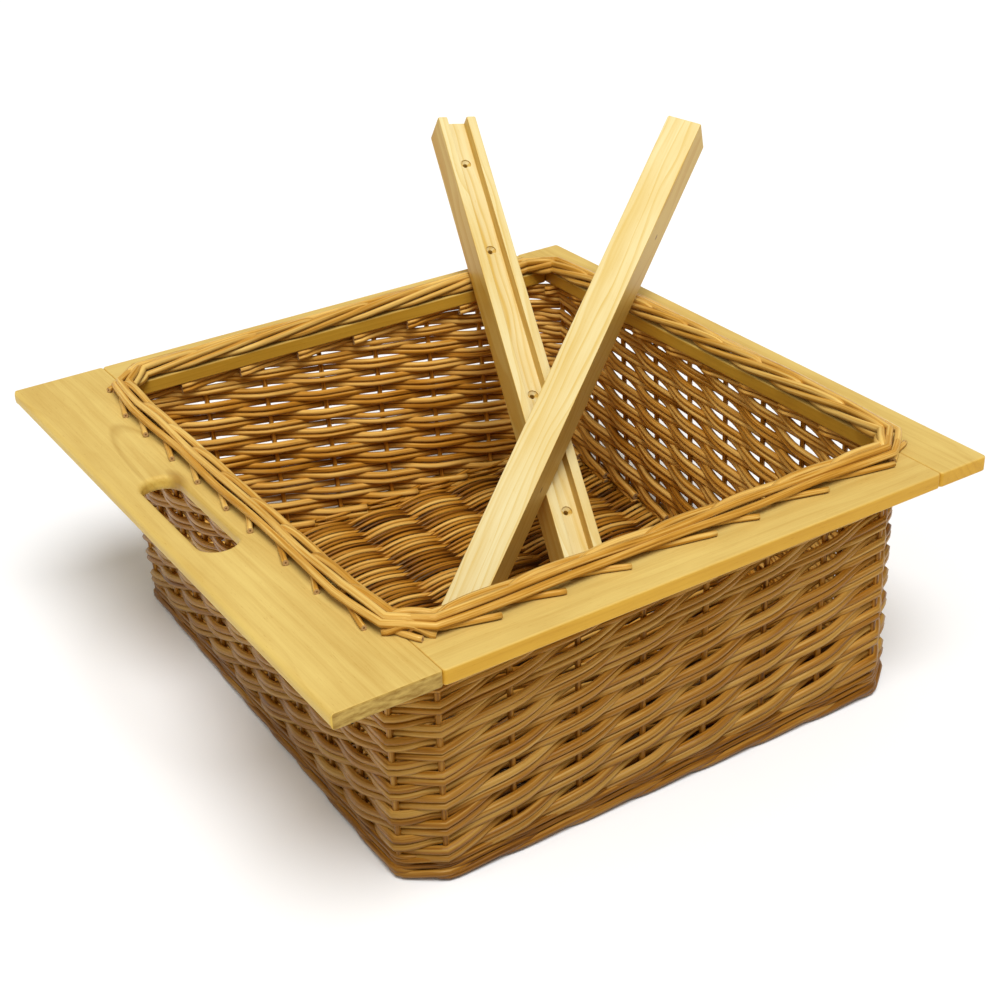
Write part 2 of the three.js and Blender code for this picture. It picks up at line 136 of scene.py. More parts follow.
# Along the border in stake pitches, out from the stake line, and height above the frame
BORDER_ROUTE = [
    (0.00, -0.0010, 0.0060),
    (0.08, -0.0016, 0.0090),
    (0.20, -0.0028, 0.0108),
    (0.45, -0.0042, 0.0112),
    (0.80, -0.0052, 0.0104),
    (1.20, -0.0062, 0.0086),
    (1.60, -0.0070, 0.0064),
    (2.00, -0.0075, 0.0044),
    (2.30, -0.0074, 0.0030),
    (2.60, -0.0056, 0.0025),
    (2.95, -0.0002, 0.0024),
    (3.30, 0.0050, 0.0024),
    (3.57, 0.0088, 0.0023),
    (3.80, 0.0119, 0.0022),
]
# Rods that run along on top of the others: out from the stake line, and height above the frame
BORDER_LONG_RODS = [(0.0012, 0.0104), (0.0062, 0.0076)]
BORDER_LAP = 0.5
BORDER_DIP = 0.8
# The long rods wander aside and up by waves round the border, each rod at its own phase
BORDER_WANDER = (0.0008, 0.0004)
BORDER_WANDER_WAVES = (11, 17)
BORDER_WANDER_PHASES = (900, 1500)

# Frame and runners, in metres
ARRIS_RADIUS = 0.0013
CORNER_RADIUS = 0.0028
FRONT_EDGE_RADIUS = 0.0045
SLOT_LENGTH = 0.119
SLOT_WIDTH = 0.028
SLOT_FROM_FRONT = 0.0315
SLOT_ROUNDING = 0.0042
SLOT_END_POINTS = 17
ARCH_CENTRE = (-0.063, 0.005)
ARCH_REACH = (0.09, 0.0175)
SLOT_BROWN_CENTRE = (-0.05, 0.0085)
SLOT_BROWN_REACH = (0.018, 0.006)
END_GRAIN_DEPTH = 0.0006
RUNNER_LENGTH = 0.47
RUNNER_FACE = 0.035
RUNNER_DEPTH = 0.0295
GROOVE_WIDTH = 0.0183
GROOVE_DEPTH = 0.0096
GROOVE_TOLERANCE = 0.0001
SCREW_HOLES_FROM_TOP = [0.045, 0.138, 0.284, 0.393]
SCREW_HOLE_RADIUS = 0.0021
SCREW_HOLE_END_GAP = 0.001
SCREW_HOLE_POINTS = 24
COUNTERSINK_RADIUS = 0.0046
COUNTERSINK_STEP = 0.0011
COUNTERSINK_DEPTH = 0.0028
KNOTS_FROM_TOP = [0.103, 0.343]
KNOT_REACH = (0.0032, 0.0016)
RUNNER_ARRIS = 0.0008
RUNNER_END_BEVEL = 0.6
ROUND_STEPS = 5
CUT_PAST_FACE = 0.002

# Camera, for a square image, and studio floor
CAMERA_AZIMUTH = math.radians(57.93554)
CAMERA_ELEVATION = math.radians(29.07743)
CAMERA_ROLL = math.radians(-2.23954)
CAMERA_DISTANCE = 1.163086
CAMERA_TARGET = Vector((0.112607, -0.063355, 0.188))
CAMERA_SENSOR = 36.0
CAMERA_FOCAL = 1.71592
FLOOR_HALF = 60.0
FLOOR_DROP = 0.0005


# Meshes
def mesh_object(name, points, faces, *materials):
    mesh = bpy.data.meshes.new(name)
    mesh.from_pydata([tuple(p) for p in points], [], faces)
    for material in materials:
        mesh.materials.append(material)
    piece = bpy.data.objects.new(name, mesh)
    bpy.context.collection.objects.link(piece)
    return piece


def loft_faces(wide, rings):
    """Faces of a closed body whose points come ring by ring, with a cap on the first and the last ring."""
    faces = [tuple(reversed(range(wide))), tuple(range((rings - 1) * wide, rings * wide))]
    for r in range(rings - 1):
        for k in range(wide):
            n = (k + 1) % wide
            faces.append((r * wide + k, r * wide + n, (r + 1) * wide + n, (r + 1) * wide + k))
    return faces


def rounding_turns():
    """Which end of a board's thickness, and the angle, for each ring of a rounding on both of its faces."""
    angles = [math.pi / 2 * i / ROUND_STEPS for i in range(ROUND_STEPS + 1)]
    return [(-1, angle) for angle in angles] + [(1, angle) for angle in reversed(angles)]


def smooth_by_angle(piece, degrees=32):
    mesh = piece.data
    mesh.polygons.foreach_set("use_smooth", [True] * len(mesh.polygons))
    mesh.set_sharp_from_angle(angle=math.radians(degrees))
    weighted = piece.modifiers.new("flat faces stay flat", "WEIGHTED_NORMAL")
    weighted.keep_sharp = True


def cut_away(piece, cutters):
    for cutter in cutters:
        boolean = piece.modifiers.new("cut", "BOOLEAN")
        boolean.operation = "DIFFERENCE"
        boolean.solver = "EXACT"
        boolean.object = cutter
    bpy.context.view_layer.update()
    evaluated = piece.evaluated_get(bpy.context.evaluated_depsgraph_get())
    mesh = bpy.data.meshes.new_from_object(evaluated)
    piece.modifiers.clear()
    piece.data = mesh
    for cutter in cutters:
        bpy.data.objects.remove(cutter)


class Rods:
    """Round rods gathered into one mesh. Each has flat ends with a dark pith, its own tone, and a
    straightened copy of its shape that the bark's texture follows."""

    def __init__(self, tones=WALL_TONES):
        self.tones = tones
        self.points = []
        self.faces = []
        self.face_material = []
        self.grain = []
        self.tone = []

    def add(self, path, radius_at, sides=ROD_SIDES, painted_shading=None):
        tone = draw.uniform(*self.tones)
        shift = draw.uniform(0, 50)
        count = len(path)
        # Given per-point offsets, as for the floor rods, add painted shade and painted highlight to the rod's
        # tone
        tones = [tone + more for more in painted_shading] if painted_shading else [tone] * count
        side = None
        travelled = 0.0
        rings = []
        for i, spot in enumerate(path):
            ahead = path[min(i + 1, count - 1)] - path[max(i - 1, 0)]
            ahead.normalize()
            if side is None:
                side = ahead.orthogonal()
            side = (side - ahead * side.dot(ahead)).normalized()
            other = ahead.cross(side)
            if i:
                travelled += (spot - path[i - 1]).length
            radius = radius_at(i / (count - 1))
            place = (spot, side, other)
            if i == 0:
                rings.append(self.ring(place, radius * PITH_SHARE, shift, tones[i], sides))
            rings.append(self.ring(place, radius, travelled + shift, tones[i], sides))
            if i == count - 1:
                rings.append(self.ring(place, radius * PITH_SHARE, travelled + shift, tones[i], sides))
        last = len(rings) - 2
        for r in range(len(rings) - 1):
            for k in range(sides):
                n = (k + 1) % sides
                self.faces.append((rings[r] + k, rings[r] + n, rings[r + 1] + n, rings[r + 1] + k))
                self.face_material.append(1 if r in (0, last) else 0)
        self.faces.append(tuple(rings[0] + k for k in reversed(range(sides))))
        self.faces.append(tuple(rings[-1] + k for k in range(sides)))
        self.face_material += [2, 2]

    def ring(self, place, radius, along, tone, sides):
        spot, side, other = place
        first = len(self.points)
        for k in range(sides):
            angle = 2 * math.pi * k / sides
            across, up = radius * math.cos(angle), radius * math.sin(angle)
            self.points.append(spot + side * across + other * up)
            self.grain.append((along, across, up))
            self.tone.append(tone)
        return first

    def build(self, name):
        piece = mesh_object(name, self.points, self.faces, willow, willow_cut, willow_pith)
        mesh = piece.data
        mesh.polygons.foreach_set("material_index", self.face_material)
        mesh.polygons.foreach_set("use_smooth", [m == 0 for m in self.face_material])
        grain = mesh.attributes.new("grain", "FLOAT_VECTOR", "POINT")
        grain.data.foreach_set("vector", [v for point in self.grain for v in point])
        tone = mesh.attributes.new("tone", "FLOAT", "POINT")
        tone.data.foreach_set("value", self.tone)
        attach(piece, "basket")
        return piece


class Loop:
    """A closed line round the basket through the stakes, counter-clockwise seen from above.
    A place on it is a stake's number, with a fraction for places between two stakes."""

    def __init__(self, places):
        self.places = places
        self.count = len(places)
        self.normals = []
        for i, place in enumerate(places):
            before = (place - places[i - 1]).normalized()
            after = (places[(i + 1) % self.count] - place).normalized()
            ahead = (before + after).normalized()
            self.normals.append(Vector((ahead.y, -ahead.x)))

    def at(self, where, out, height):
        first = math.floor(where)
        a, b = first % self.count, (first + 1) % self.count
        part = where - first
        spot = self.places[a].lerp(self.places[b], part)
        normal = self.normals[a].lerp(self.normals[b], part).normalized()
        spot = spot + normal * out
        return askew(Vector((spot.x, spot.y, height)))


def askew(spot):
    """Moves a place below the frame to where the crooked basket has it."""
    share = max(1 - spot.z / FRAME_UNDERSIDE, 0)
    x = spot.x + share * (BASE_SHIFT[0] + BASE_TWIST * spot.y)
    y = spot.y + share * (BASE_SHIFT[1] - BASE_SHORTENING * spot.y - BASE_TWIST * spot.x)
    return Vector((x, y, spot.z))


def ease(part):
    return (1 - math.cos(math.pi * part)) / 2


def smoothed(path):
    inner = [(a + b * 2 + c) / 4 for a, b, c in zip(path, path[1:], path[2:])]
    return [path[0]] + inner + [path[-1]]


def spline(knots, value):
    """Value of a smooth curve through rows of numbers, whose first number rises."""
    last = len(knots) - 2
    i = sum(1 for knot in knots[1:-1] if knot[0] <= value)
    a, b = knots[i], knots[i + 1]
    before, after = knots[max(i - 1, 0)], knots[min(i + 2, last + 1)]
    t = (value - a[0]) / (b[0] - a[0])
    result = []
    for p, q, r, s in zip(before[1:], a[1:], b[1:], after[1:]):
        bend = 2 * p - 5 * q + 4 * r - s + t * (3 * (q - r) + s - p)
        result.append(q + 0.5 * t * (r - p + t * bend))
    return result


# Places of the stakes
CORNERS = {
    "front": ("front_left_stake_1", "front_right_stake_1"),
    "right": ("front_right_stake_2", "back_right_stake_2"),
    "back": ("back_right_stake_1", "back_left_stake_1"),
    "left": ("back_left_stake_2", "front_left_stake_2"),
}
SIDES = list(CORNERS)
NEXT_CORNER = {"front": "front_right", "right": "back_right", "back": "back_left", "left": "front_left"}


def corner_place(node):
    x = STAKE_LINE[0] - (CORNER_RUN[0] if node.endswith("_1") else 0)
    y = STAKE_LINE[1] - (CORNER_RUN[1] if node.endswith("_2") else 0)
    return Vector((-x if "left" in node else x, -y if "front" in node else y))


def wall_places():
    places = []
    for side, (first, last) in CORNERS.items():
        start, end = corner_place(first), corner_place(last)
        spans = WALL_STAKES[side] + 1
        places += [start.lerp(end, i / spans) for i in range(spans + 1)]
    return places


def border_places():
    """The wall's places, with the corner stakes bent over to the border's own corners."""
    places = wall_places()
    for side in SIDES:
        x, y = BORDER_CORNER if side in ("front", "back") else BORDER_CORNER_SIDE
        for i in (STARTS[side], STARTS[side] + WALL_STAKES[side] + 1):
            old = places[i]
            places[i] = Vector((math.copysign(x, old.x), math.copysign(y, old.y)))
    return places


def side_starts():
    """The number of each side's first stake, which stands at a corner."""
    starts = {}
    at = 0
    for side in SIDES:
        starts[side] = at
        at += WALL_STAKES[side] + 2
    return starts


STARTS = side_starts()
wall = Loop(wall_places())
border = Loop(border_places())


# Wicker
def stroke_height(step):
    return FIRST_STROKE_HEIGHT + STROKE_RISE * step - STROKE_RISE_LOSS * step * (step - 1) / 2


def stroke_rise(step):
    return STROKE_RISE - STROKE_RISE_LOSS * step


def corner_sag(where):
    """The bands climb along the walls and hardly at all round a corner."""
    where = where % wall.count
    side = [side for side in SIDES if STARTS[side] <= where][-1]
    along = where - STARTS[side]
    spans = WALL_STAKES[side] + 1
    return CORNER_DROP * (along / spans - 0.5 if along <= spans else spans + 0.5 - along)


def corner_share(where):
    """1 round the two stakes of a corner, falling to 0 three quarters of a pitch away from them."""
    where = where % wall.count
    gaps = [abs(where - (STARTS[side] - 0.5) % wall.count) for side in SIDES]
    near = min(min(gap, wall.count - gap) for gap in gaps)
    return ease(min(max(1.25 - near, 0), 0.5) * 2)


def weaver_path(start, lane, wobble):
    """One rod of a band: inside one stake, outside the next, and up by a stroke from stake to stake."""
    path = []
    first = -round(BUTT_LENGTH * STROKE_POINTS)
    last = round((LAST_STROKE + TAIL_LENGTH) * STROKE_POINTS)
    for i in range(first, last + 1):
        step = i / STROKE_POINTS
        held = min(max(step, 0), LAST_STROKE)
        crossing = math.sin(math.pi * held) ** 2
        part = held - math.floor(held)
        risen = math.floor(held) + part + STROKE_EASE * (ease(part) - part)
        reach = BEND_REACH * (1 - CORNER_TIGHTER * corner_share(start + step))
        out = -reach * math.cos(math.pi * held)
        height = stroke_height(risen) + corner_sag(start + step)
        height += lane * BAND_ROD_SHARE * stroke_rise(held) * (1 - BAND_SQUEEZE * crossing)
        if step > LAST_STROKE:
            out += (-TAIL_INSIDE - out) * ease((step - LAST_STROKE) / TAIL_LENGTH)
        out -= BUTT_INWARD * max(-step, 0)
        height -= BUTT_FALL * max(-step, 0)
        height += WEAVER_WOBBLE * math.sin(step * WEAVER_WOBBLE_TURN + wobble + lane)
        height = min(height, FRAME_UNDERSIDE - TOP_GAP - (0.5 - lane) * TOP_ROD_GAP)
        path.append(wall.at(start + step, out, height))
    return path


def weave(side):
    rods = Rods()
    for start in range(STARTS[side], STARTS[side] + WALL_STAKES[side] + 2):
        wobble = draw.uniform(0, 6)
        for lane in (-0.5, 0.5):
            thick = draw.uniform(*WEAVER_THICKNESS) * BAND_ROD_SHARE / 2
            butt = thick * stroke_rise(0) * WEAVER_BUTT
            tip = thick * stroke_rise(LAST_STROKE) * WEAVER_TIP
            rods.add(weaver_path(start, lane, wobble), lambda part: butt + (tip - butt) * part)
    piece = rods.build(f"{side}_wall_weavers")
    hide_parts(f"{side}_weave", f"{NEXT_CORNER[side]}_weave")


def stakes(side):
    rods = Rods(STAKE_TONES)
    for i in range(STARTS[side], STARTS[side] + WALL_STAKES[side] + 2):
        sway = draw.uniform(-STAKE_SWAY, STAKE_SWAY)
        path = []
        for t in range(STAKE_POINTS + 1):
            height = STAKE_MARGIN + (FRAME_TOP - 2 * STAKE_MARGIN) * t / STAKE_POINTS
            path.append(wall.at(i + sway * math.sin(t / 3), 0, height))
        rods.add(path, lambda part: STAKE_RADIUS)
    piece = rods.build(f"{side}_wall_stakes")
    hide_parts(*CORNERS[side])


def wale_path(height, radius, swing, strand):
    """One of a row's three strands: outside two stakes, then inside one."""
    path = []
    reach = STAKE_RADIUS + radius
    turns = {0: (-reach, 0.0), 1: (reach, -swing), 2: (reach, swing)}
    for i in range(wall.count * WALE_POINTS + 1):
        where = i / WALE_POINTS
        stake = math.floor(where)
        a, b = turns[(stake + strand) % 3], turns[(stake + 1 + strand) % 3]
        part = ease(where - stake)
        out = a[0] + (b[0] - a[0]) * part - WALE_INSET
        path.append(wall.at(where, out, height + a[1] + (b[1] - a[1]) * part))
    return smoothed(path)


def wale(row, nodes=()):
    height, radius, swing = WALE_ROWS[row]
    rods = Rods(WALE_TONES)
    for strand in range(3):
        rods.add(wale_path(height, radius, swing, strand), lambda part: radius)
    piece = rods.build(f"wale_row_{row + 1}" if row else "foot_row")
    if nodes:
        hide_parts(*nodes)


def base_rod_path(rod, sticks, half_y):
    """A rod over and under the sticks, cut short at the basket's cut corners, and how raised it is."""
    middle_x = (rod - (BASE_RODS - 1) / 2) * BASE_ROD_PITCH
    past_corner = max(abs(middle_x) + BASE_ROD_RADIUS - STAKE_LINE[0] + CORNER_RUN[0], 0)
    reach_y = half_y - past_corner * CORNER_RUN[1] / CORNER_RUN[0]
    pitch = sticks[1] - sticks[0]
    samples = round(2 * half_y / pitch * BASE_POINTS)
    sway = draw.uniform(0, 6)
    path = []
    waves = []
    for i in range(samples + 1):
        y = -reach_y + 2 * reach_y * i / samples
        waves.append(math.cos(math.pi * ((y - sticks[0]) / pitch + rod)))
        x = middle_x + BASE_ROD_SWAY * math.sin(y * BASE_ROD_SWAY_TURN + sway)
        path.append(askew(Vector((x, y, BASE_MIDDLE + BASE_WAVE * waves[-1]))))
    return path, waves


def base():
    half_x = STAKE_LINE[0] - BASE_MARGIN[0]
    half_y = STAKE_LINE[1] - BASE_MARGIN[1]
    sticks = [BASE_STICK_REACH * (2 * i / (BASE_STICKS - 1) - 1) for i in range(BASE_STICKS)]
    rods = Rods(BASE_TONES)
    for rod in range(BASE_RODS):
        if abs(rod - (BASE_RODS - 1) / 2) * BASE_ROD_PITCH > half_x:
            continue
        path, waves = base_rod_path(rod, sticks, half_y)
        thick = draw.uniform(*BASE_ROD_THICKNESS)
        # Painted light: each floor rod is lighter on its crests and darker in its troughs
        painted_shading = [BASE_CREST_PAINTED_LIGHT * wave for wave in waves]
        rods.add(path, lambda part: BASE_ROD_RADIUS * thick, BASE_ROD_SIDES, painted_shading=painted_shading)
    piece = rods.build("base_rods")
    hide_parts("base_weave")
    rods = Rods()
    for y in sticks:
        along = [half_x * (2 * i / BASE_STICK_POINTS - 1) for i in range(BASE_STICK_POINTS + 1)]
        path = [askew(Vector((x, y, BASE_MIDDLE))) for x in along]
        rods.add(path, lambda part: BASE_STICK_RADIUS)
    piece = rods.build("base_sticks")
    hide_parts(*[f"base_stick_{i}" for i in range(1, BASE_STICKS + 1)])


def border_path(start):
    """A rod out of the wall, along inside the border, under it and out to a short tip."""
    lift = draw.uniform(-BORDER_JITTER, BORDER_JITTER)
    aside = draw.uniform(-BORDER_JITTER, BORDER_JITTER)
    longer = draw.uniform(-BORDER_TIP_SPREAD, BORDER_TIP_SPREAD)
    path = [border.at(start, BORDER_ROUTE[0][1], FRAME_TOP - BORDER_ROOT_DEPTH)]
    last = BORDER_ROUTE[-1][0]
    for i in range(math.ceil(last * BORDER_POINTS) + 1):
        along = min(i / BORDER_POINTS, last)
        out, up = spline(BORDER_ROUTE, along)
        grown = along + longer * max(along - BORDER_TIPS_FROM, 0)
        path.append(border.at(start + grown, out + aside, FRAME_TOP + up + lift))
    return path


def long_rod_path(start, end, out, up):
    """A rod along one side on top of the others, whose two ends go down between them."""
    path = []
    count = round((end - start + 2 * BORDER_LAP) * BORDER_POINTS)
    for i in range(count + 1):
        where = start - BORDER_LAP + (end - start + 2 * BORDER_LAP) * i / count
        beyond = max(start - where, where - end, 0) / BORDER_LAP
        turn = 2 * math.pi * where / border.count
        aside = BORDER_WANDER[0] * math.sin(turn * BORDER_WANDER_WAVES[0] + out * BORDER_WANDER_PHASES[0])
        lift = BORDER_WANDER[1] * math.sin(turn * BORDER_WANDER_WAVES[1] + up * BORDER_WANDER_PHASES[1])
        lift -= BORDER_DIP * up * ease(beyond)
        path.append(border.at(where, out + aside, FRAME_TOP + up + lift))
    return path


def plaited_border(side):
    rods = Rods(BORDER_TONES)
    first, last = STARTS[side], STARTS[side] + WALL_STAKES[side] + 1
    for start in range(first, last + 1):
        butt = BORDER_ROD_RADIUS * draw.uniform(*BORDER_ROD_THICKNESS)
        rods.add(border_path(start), lambda part: butt * (BORDER_ROD_BUTT - BORDER_ROD_TAPER * part ** 3))
    for out, up in BORDER_LONG_RODS:
        path = long_rod_path(first - 0.5, last + 0.5, out, up)
        rods.add(path, lambda part: BORDER_ROD_RADIUS)
    piece = rods.build(f"{side}_border_rods")
    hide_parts(f"{side}_border")


# Frame
def rounded_outline(half_x, half_y):
    """Points of a board's outline, each with its outward direction and its share of the front edge."""
    rows = []
    for sign_x, sign_y, begin in [(1, 1, 0), (-1, 1, 90), (-1, -1, 180), (1, -1, 270)]:
        centre = Vector((sign_x * (half_x - CORNER_RADIUS), sign_y * (half_y - CORNER_RADIUS)))
        for i in range(ROUND_STEPS + 1):
            angle = math.radians(begin + 90 * i / ROUND_STEPS)
            out = Vector((math.cos(angle), math.sin(angle)))
            rows.append((centre + out * CORNER_RADIUS, out, max(-out.y, 0)))
    return rows


def board_mesh(name, half, front_radius, pine):
    outline = rounded_outline(half.x, half.y)
    points = []
    turns = rounding_turns()
    for end, angle in turns:
        for spot, out, front in outline:
            radius = ARRIS_RADIUS + (front_radius - ARRIS_RADIUS) * front ** 4
            flat = spot - out * radius * (1 - math.sin(angle))
            points.append((flat.x, flat.y, end * (half.z - radius * (1 - math.cos(angle)))))
    return mesh_object(name, points, loft_faces(len(outline), len(turns)), pine)


def slot_cutter(half_z):
    """A long round-ended plug that flares at both faces, as a rounding cutter leaves it."""
    straight = (SLOT_LENGTH - SLOT_WIDTH) / 2
    levels = [(SLOT_ROUNDING, -half_z - CUT_PAST_FACE)]
    for end, angle in rounding_turns():
        flare = SLOT_ROUNDING * (1 - math.sin(angle))
        levels.append((flare, end * (half_z - SLOT_ROUNDING * (1 - math.cos(angle)))))
    levels.append((SLOT_ROUNDING, half_z + CUT_PAST_FACE))
    points = []
    for flare, z in levels:
        radius = SLOT_WIDTH / 2 + flare
        for centre, begin in ((straight, -90), (-straight, 90)):
            for i in range(SLOT_END_POINTS):
                angle = math.radians(begin + 180 * i / (SLOT_END_POINTS - 1))
                points.append((centre + radius * math.cos(angle), radius * math.sin(angle), z))
    return mesh_object("slot_cutter", points, loft_faces(2 * SLOT_END_POINTS, len(levels)))


def frame_board(node, turned=0, front_radius=ARRIS_RADIUS, has_slot=False):
    low, high = Vector(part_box(node)[0]), Vector(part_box(node)[1])
    half = (high - low) / 2
    if turned:
        half = Vector((half.y, half.x, half.z))
    piece = board_mesh(f"{node}_planed", half, front_radius, front_pine if has_slot else frame_pine)
    if has_slot:
        cutter = slot_cutter(half.z)
        cutter.location = (0, -half.y + SLOT_FROM_FRONT, 0)
        cut_away(piece, [cutter])
    piece.matrix_world = Matrix.Translation((low + high) / 2) @ Matrix.Rotation(turned, 4, "Z")
    smooth_by_angle(piece)
    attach(piece, "basket")
    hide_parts(node)


# Runners
def runner_outline():
    """Points of a runner's section, each with its outward direction and whether the groove's floor has it."""
    face, top = RUNNER_FACE / 2, RUNNER_DEPTH / 2
    groove, floor = GROOVE_WIDTH / 2, RUNNER_DEPTH / 2 - GROOVE_DEPTH
    right = [(face, -top), (face, top), (groove, top), (groove, floor)]
    corners = [Vector(p) for p in right + [(-y, z) for y, z in reversed(right)]]
    rows = []
    for i, corner in enumerate(corners):
        before = (corners[i - 1] - corner).normalized()
        after = (corners[(i + 1) % len(corners)] - corner).normalized()
        for step in range(ROUND_STEPS + 1):
            t = step / ROUND_STEPS
            spot = corner + before * RUNNER_ARRIS * (1 - t) ** 2 + after * RUNNER_ARRIS * t ** 2
            rows.append((spot, -(before * (1 - t) + after * t).normalized(), i in (3, 4)))
    return rows


def runner_mesh(name, length):
    outline = runner_outline()
    sections = [(length, 1), (length - RUNNER_ARRIS, 0), (RUNNER_ARRIS, 0), (0, 1)]
    points = []
    for x, inset in sections:
        for spot, out, inner in outline:
            shift = RUNNER_ARRIS * RUNNER_END_BEVEL * inset * (-1 if inner else 1)
            flat = spot - out * shift
            points.append((x, flat.x, flat.y))
    return mesh_object(name, points, loft_faces(len(outline), len(sections)), runner_pine)


def screw_cutter(x):
    """A plug for a stepped, countersunk hole from the groove's floor to just short of the back."""
    floor = RUNNER_DEPTH / 2 - GROOVE_DEPTH
    profile = [
        (SCREW_HOLE_RADIUS, SCREW_HOLE_END_GAP - RUNNER_DEPTH / 2),
        (SCREW_HOLE_RADIUS, floor - COUNTERSINK_DEPTH),
        (COUNTERSINK_RADIUS, floor - COUNTERSINK_STEP),
        (COUNTERSINK_RADIUS, floor + CUT_PAST_FACE),
    ]
    points = []
    for radius, z in profile:
        for k in range(SCREW_HOLE_POINTS):
            angle = 2 * math.pi * k / SCREW_HOLE_POINTS
            points.append((x + radius * math.cos(angle), radius * math.sin(angle), z))
    return mesh_object("screw_cutter", points, loft_faces(SCREW_HOLE_POINTS, len(profile)))


def runner(node):
    """A runner in the place and direction that its slide and its back's mount have in the frame."""
    record = frame["record"]
    joint = next(j for j in record["behaviour"]["joints"] if j["child"] == node)
    mount = next(m for m in record["mounts"] if m["name"] == f"{node}_back")
    ahead = Vector(joint["axis"]).normalized()
    grooved = -Vector(mount["axis"]).normalized()
    across = grooved.cross(ahead)
    reach = [ahead.dot(v.co) for v in frame["nodes"][node].data.vertices]
    length = max(reach) - min(reach)
    back = Vector(mount["pos_m"])
    foot = back + ahead * (min(reach) - ahead.dot(back)) + grooved * RUNNER_DEPTH / 2
    piece = runner_mesh(f"{node}_planed", length)
    cut_away(piece, [screw_cutter(length - hole) for hole in SCREW_HOLES_FROM_TOP])
    turn = Matrix((ahead, across, grooved)).transposed().to_4x4()
    piece.matrix_world = Matrix.Translation(foot) @ turn
    smooth_by_angle(piece)
    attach(piece, node)
    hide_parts(node)


# Materials
LACQUER_TINT = (1.0, 0.78, 0.42, 1)
# Painted shade: darkens the willow's outward-facing surfaces below the frame
OUTSIDE_PAINTED_SHADE = (0.64, 0.62, 0.58)
# Painted shade on the undersides of rods
UNDERSIDE_PAINTED_SHADE = (0.66, 0.6, 0.5)
# Darkening towards the foot on the basket's outside
FOOT_DARKENING = (0.52, 0.47, 0.36)

# Patches to the metre of each noise, along the grain and across it
BARK_STREAKS = (12, 620, 620)
BARK_PATCHES = (14, 60, 60)
CUT_SPECKS = (1, 1800, 1800)
PINE_DRIFT = (2.6, 14, 14)
PINE_PATCHES = (9, 30, 30)
PINE_FIBRES = (14, 700, 700)
PINE_PORES = (150, 1900, 1900)
PINE_END_GRAIN = (1, 120, 420)
FLOOR_PATCHES = (2, 2, 2)

PINE_RINGS_PER_METRE = 150
PITH_DEPTH = 0.045
RING_NOISE = (0.7, 1, 1)


class Nodes:
    """Short names for adding and joining a material's nodes."""

    def __init__(self, name, roughness, shine=0.5):
        self.material = bpy.data.materials.new(name)
        self.material.use_nodes = True
        self.tree = self.material.node_tree
        self.shader = self.tree.nodes["Principled BSDF"]
        self.shader.inputs["Roughness"].default_value = roughness
        self.shader.inputs["Specular IOR Level"].default_value = shine
        self.shader.inputs["Specular Tint"].default_value = LACQUER_TINT

    def add(self, kind, **inputs):
        node = self.tree.nodes.new(kind)
        for name, value in inputs.items():
            self.give(node.inputs[name.replace("_", " ")], value)
        return node

    def give(self, socket, value):
        if isinstance(value, bpy.types.NodeSocket):
            self.tree.links.new(value, socket)
        else:
            socket.default_value = value

    def math(self, operation, *values):
        node = self.tree.nodes.new("ShaderNodeMath")
        node.operation = operation
        for socket, value in zip(node.inputs, values):
            self.give(socket, value)
        return node.outputs[0]

    def vector(self, operation, *values):
        node = self.tree.nodes.new("ShaderNodeVectorMath")
        node.operation = operation
        for socket, value in zip(node.inputs, values):
            self.give(socket, value)
        return node.outputs["Value" if operation in ("LENGTH", "DOT_PRODUCT") else "Vector"]

    def noise(self, place, patches, detail=3.0, rough=0.55):
        place = self.vector("MULTIPLY", place, patches)
        node = self.add("ShaderNodeTexNoise", Vector=place, Scale=1.0, Detail=detail, Roughness=rough)
        return node.outputs["Fac"]

    def attribute(self, name, output):
        node = self.tree.nodes.new("ShaderNodeAttribute")
        node.attribute_name = name
        return node.outputs[output]

    def ramp(self, value, *stops):
        node = self.add("ShaderNodeValToRGB", Fac=value)
        elements = node.color_ramp.elements
        while len(elements) < len(stops):
            elements.new(0.5)
        for element, (place, colour) in zip(elements, stops):
            element.position = place
            element.color = colour if len(colour) == 4 else (*colour, 1)
        return node.outputs["Color"]

    def mix(self, kind, share, first, second):
        node = self.tree.nodes.new("ShaderNodeMix")
        node.data_type = "RGBA"
        node.blend_type = kind
        self.give(node.inputs["Factor"], share)
        self.give(node.inputs[6], first)
        self.give(node.inputs[7], second)
        return node.outputs[2]

    def bump(self, height, strength, distance):
        node = self.add("ShaderNodeBump", Height=height, Strength=strength, Distance=distance)
        self.give(self.shader.inputs["Normal"], node.outputs["Normal"])

    def colour(self, value):
        self.give(self.shader.inputs["Base Color"], value)


def grey(value):
    return (value, value, value)


